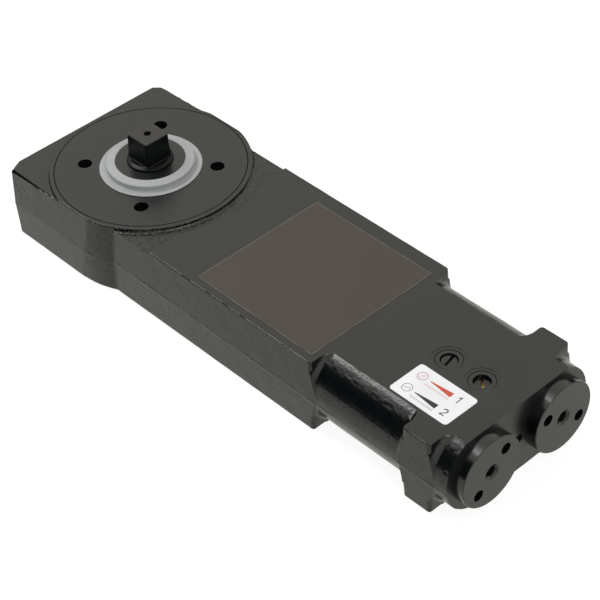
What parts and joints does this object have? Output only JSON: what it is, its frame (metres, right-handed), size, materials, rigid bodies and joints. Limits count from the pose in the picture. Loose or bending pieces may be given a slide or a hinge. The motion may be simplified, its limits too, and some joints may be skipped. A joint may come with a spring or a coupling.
{
  "type": "transom door closer",
  "caption": "Long flat cast body with two parallel cylinders; a square spindle, geared to spring-loaded rack pistons, closes a double-action door.",
  "frame": {"origin": "on the spindle's axis, at the body's flat back face", "axes": "+X along the body towards the two end caps, +Z out of the back face along the spindle towards its square, +Y across the body"},
  "size_m": [0.2654, 0.0874, 0.0534],
  "materials": {
    "cast_body": "dark grey satin paint over machined and sand-cast iron",
    "cover_paint": "dark grey satin paint on turned steel",
    "seal_rubber": "smooth moulded rubber",
    "light_plastic": "light grey moulded plastic",
    "bearing_steel": "ground hardened steel",
    "spindle_steel": "blackened machined steel",
    "piston_iron": "ground iron",
    "ring_plastic": "low-friction plastic",
    "spring_steel": "oiled spring steel",
    "cap_steel": "glossy black turned steel",
    "bush_steel": "dark grey satin paint on turned steel",
    "valve_brass": "blackened brass, bare in the slot",
    "dark_film": "matt dark printed film",
    "white_film": "white printed film"
  },
  "bodies": {
    "housing": {"adjusting_label": "white_film", "body_casting": "cast_body", "cap_seal_ring_left": "seal_rubber", "cap_seal_ring_right": "seal_rubber", "closing_spring_left": "spring_steel", "closing_spring_right": "spring_steel", "cover_seal_ring": "seal_rubber", "end_cap_left": "cap_steel", "end_cap_right": "cap_steel", "gallery_plug": "spindle_steel", "hub_ring": "light_plastic", "latch_valve_bush": "bush_steel", "lower_bearing_cup": "bearing_steel", "lower_washer": "bearing_steel", "name_label": "dark_film", "shaft_seal": "seal_rubber", "spindle_cover": "cover_paint", "sweep_valve_bush": "bush_steel", "upper_bearing_cup": "bearing_steel", "upper_washer": "bearing_steel"},
    "spindle": {"pinion_spindle": "spindle_steel"},
    "rack_left": {"rack_piston_left": "piston_iron", "piston_ring_left": "ring_plastic", "check_pin_left": "bearing_steel"},
    "rack_right": {"rack_piston_right": "piston_iron", "piston_ring_right": "ring_plastic", "check_pin_right": "bearing_steel"},
    "ball_left": {"check_ball_left": "bearing_steel"},
    "ball_right": {"check_ball_right": "bearing_steel"},
    "upper_rollers": {"upper_needles": "bearing_steel"},
    "lower_rollers": {"lower_needles": "bearing_steel"},
    "sweep_screw": {"sweep_valve": "valve_brass", "sweep_valve_ring": "seal_rubber"},
    "latch_screw": {"latch_valve": "valve_brass", "latch_valve_ring": "seal_rubber"}
  },
  "joints": [
    {"name": "spindle_turn", "type": "hinge", "parent": "housing", "child": "spindle", "pos_m": [0, 0, 0.0412], "axis": [0, 0, 1], "range_deg": [-105, 105], "stiffness_Nm_per_rad": 12},
    {"name": "rack_left_slide", "type": "slide", "parent": "housing", "child": "rack_left", "axis": [1, 0, 0], "range_m": [-0.0165, 0.0165], "deforming": ["closing_spring_left"]},
    {"name": "rack_right_slide", "type": "slide", "parent": "housing", "child": "rack_right", "axis": [1, 0, 0], "range_m": [-0.0165, 0.0165], "deforming": ["closing_spring_right"]},
    {"name": "ball_left_lift", "type": "slide", "parent": "rack_left", "child": "ball_left", "axis": [1, 0, 0], "range_m": [0, 0.001]},
    {"name": "ball_right_lift", "type": "slide", "parent": "rack_right", "child": "ball_right", "axis": [1, 0, 0], "range_m": [0, 0.001]},
    {"name": "upper_rollers_turn", "type": "hinge", "parent": "housing", "child": "upper_rollers", "pos_m": [0, 0, 0.032], "axis": [0, 0, 1], "range_deg": [-48, 48]},
    {"name": "lower_rollers_turn", "type": "hinge", "parent": "housing", "child": "lower_rollers", "pos_m": [0, 0, 0.006], "axis": [0, 0, 1], "range_deg": [-47, 47]},
    {"name": "sweep_valve_turn", "type": "hinge", "parent": "housing", "child": "sweep_screw", "pos_m": [0.1769, 0, 0.035], "axis": [0, 0, 1], "range_deg": [-180, 180]},
    {"name": "latch_valve_turn", "type": "hinge", "parent": "housing", "child": "latch_screw", "pos_m": [0.194, 0, 0.035], "axis": [0, 0, 1], "range_deg": [-180, 180]}
  ],
  "couplings": [
    {"joint": "rack_left_slide", "follows": "spindle_turn", "m_per_rad": 0.009},
    {"joint": "rack_right_slide", "follows": "spindle_turn", "m_per_rad": -0.009},
    {"joint": "upper_rollers_turn", "follows": "spindle_turn", "ratio": 0.45454},
    {"joint": "lower_rollers_turn", "follows": "spindle_turn", "ratio": 0.44444}
  ]
}
